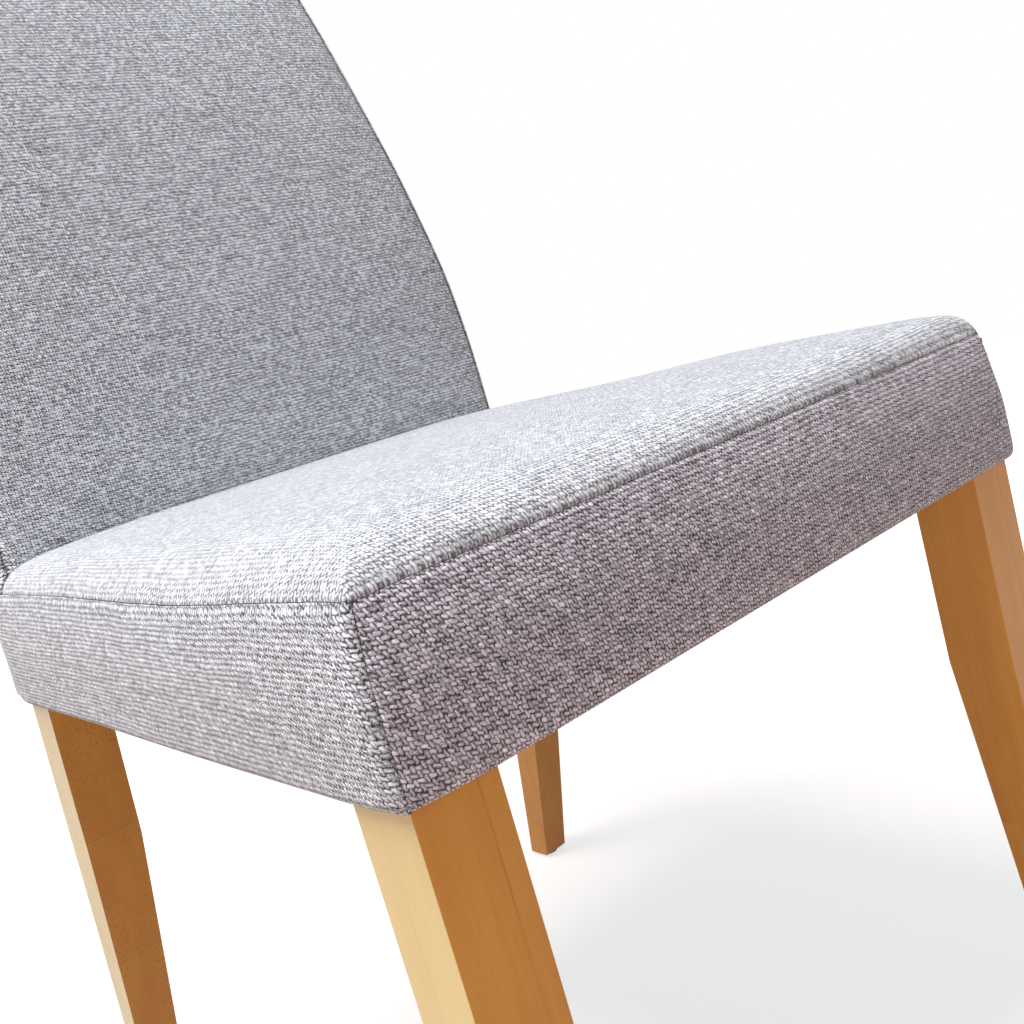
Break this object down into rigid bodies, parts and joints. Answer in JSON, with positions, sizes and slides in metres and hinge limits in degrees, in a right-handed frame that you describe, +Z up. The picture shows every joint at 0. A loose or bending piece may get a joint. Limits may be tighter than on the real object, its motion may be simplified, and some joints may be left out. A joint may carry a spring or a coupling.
{
  "type": "parsons chair",
  "caption": "Armless dining chair: cloth-covered seat box and tall back that curves rearward, on square tapered timber legs, the rear ones raked.",
  "frame": {"origin": "on the floor, under the middle of the chair's overall width and depth", "axes": "-Y out of the front of the seat, +X to the right as seen by someone who stands in front and faces the chair, +Z up; pieces named left lie on the -X side"},
  "size_m": [0.46, 0.6172, 0.9803],
  "materials": {
    "leg_timber": "clear lacquer, satin",
    "frame_timber": "sawn, bare",
    "board": "bare plywood",
    "cloth": "plain weave, light grey heather",
    "foam": "open-cell foam",
    "lining": "bonded lining cloth",
    "steel": "zinc plated",
    "plastic": "moulded"
  },
  "bodies": {
    "root": {"back_board": "board", "back_bottom_rail": "frame_timber", "back_foam": "foam", "back_front_panel": "cloth", "back_left_gusset": "cloth", "back_left_lower_bolt": "steel", "back_left_lower_insert": "steel", "back_left_lower_washer": "steel", "back_left_post": "frame_timber", "back_left_upper_bolt": "steel", "back_left_upper_insert": "steel", "back_left_upper_washer": "steel", "back_middle_rail": "frame_timber", "back_rear_panel": "cloth", "back_right_gusset": "cloth", "back_right_lower_bolt": "steel", "back_right_lower_insert": "steel", "back_right_lower_washer": "steel", "back_right_post": "frame_timber", "back_right_upper_bolt": "steel", "back_right_upper_insert": "steel", "back_right_upper_washer": "steel", "back_top_gusset": "cloth", "back_top_rail": "frame_timber", "dust_cover": "lining", "front_left_corner_block": "frame_timber", "front_left_glide": "plastic", "front_left_leg": "leg_timber", "front_left_leg_bolt": "steel", "front_left_leg_nut": "steel", "front_left_leg_washer": "steel", "front_rail": "frame_timber", "front_right_corner_block": "frame_timber", "front_right_glide": "plastic", "front_right_leg": "leg_timber", "front_right_leg_bolt": "steel", "front_right_leg_nut": "steel", "front_right_leg_washer": "steel", "left_rail": "frame_timber", "rear_left_corner_block": "frame_timber", "rear_left_glide": "plastic", "rear_left_leg": "leg_timber", "rear_left_leg_bolt": "steel", "rear_left_leg_nut": "steel", "rear_left_leg_washer": "steel", "rear_rail": "frame_timber", "rear_right_corner_block": "frame_timber", "rear_right_glide": "plastic", "rear_right_leg": "leg_timber", "rear_right_leg_bolt": "steel", "rear_right_leg_nut": "steel", "rear_right_leg_washer": "steel", "right_rail": "frame_timber", "seat_board": "board", "seat_foam": "foam", "seat_front_boxing": "cloth", "seat_left_boxing": "cloth", "seat_right_boxing": "cloth", "seat_top_panel": "cloth"}
  },
  "joints": []
}
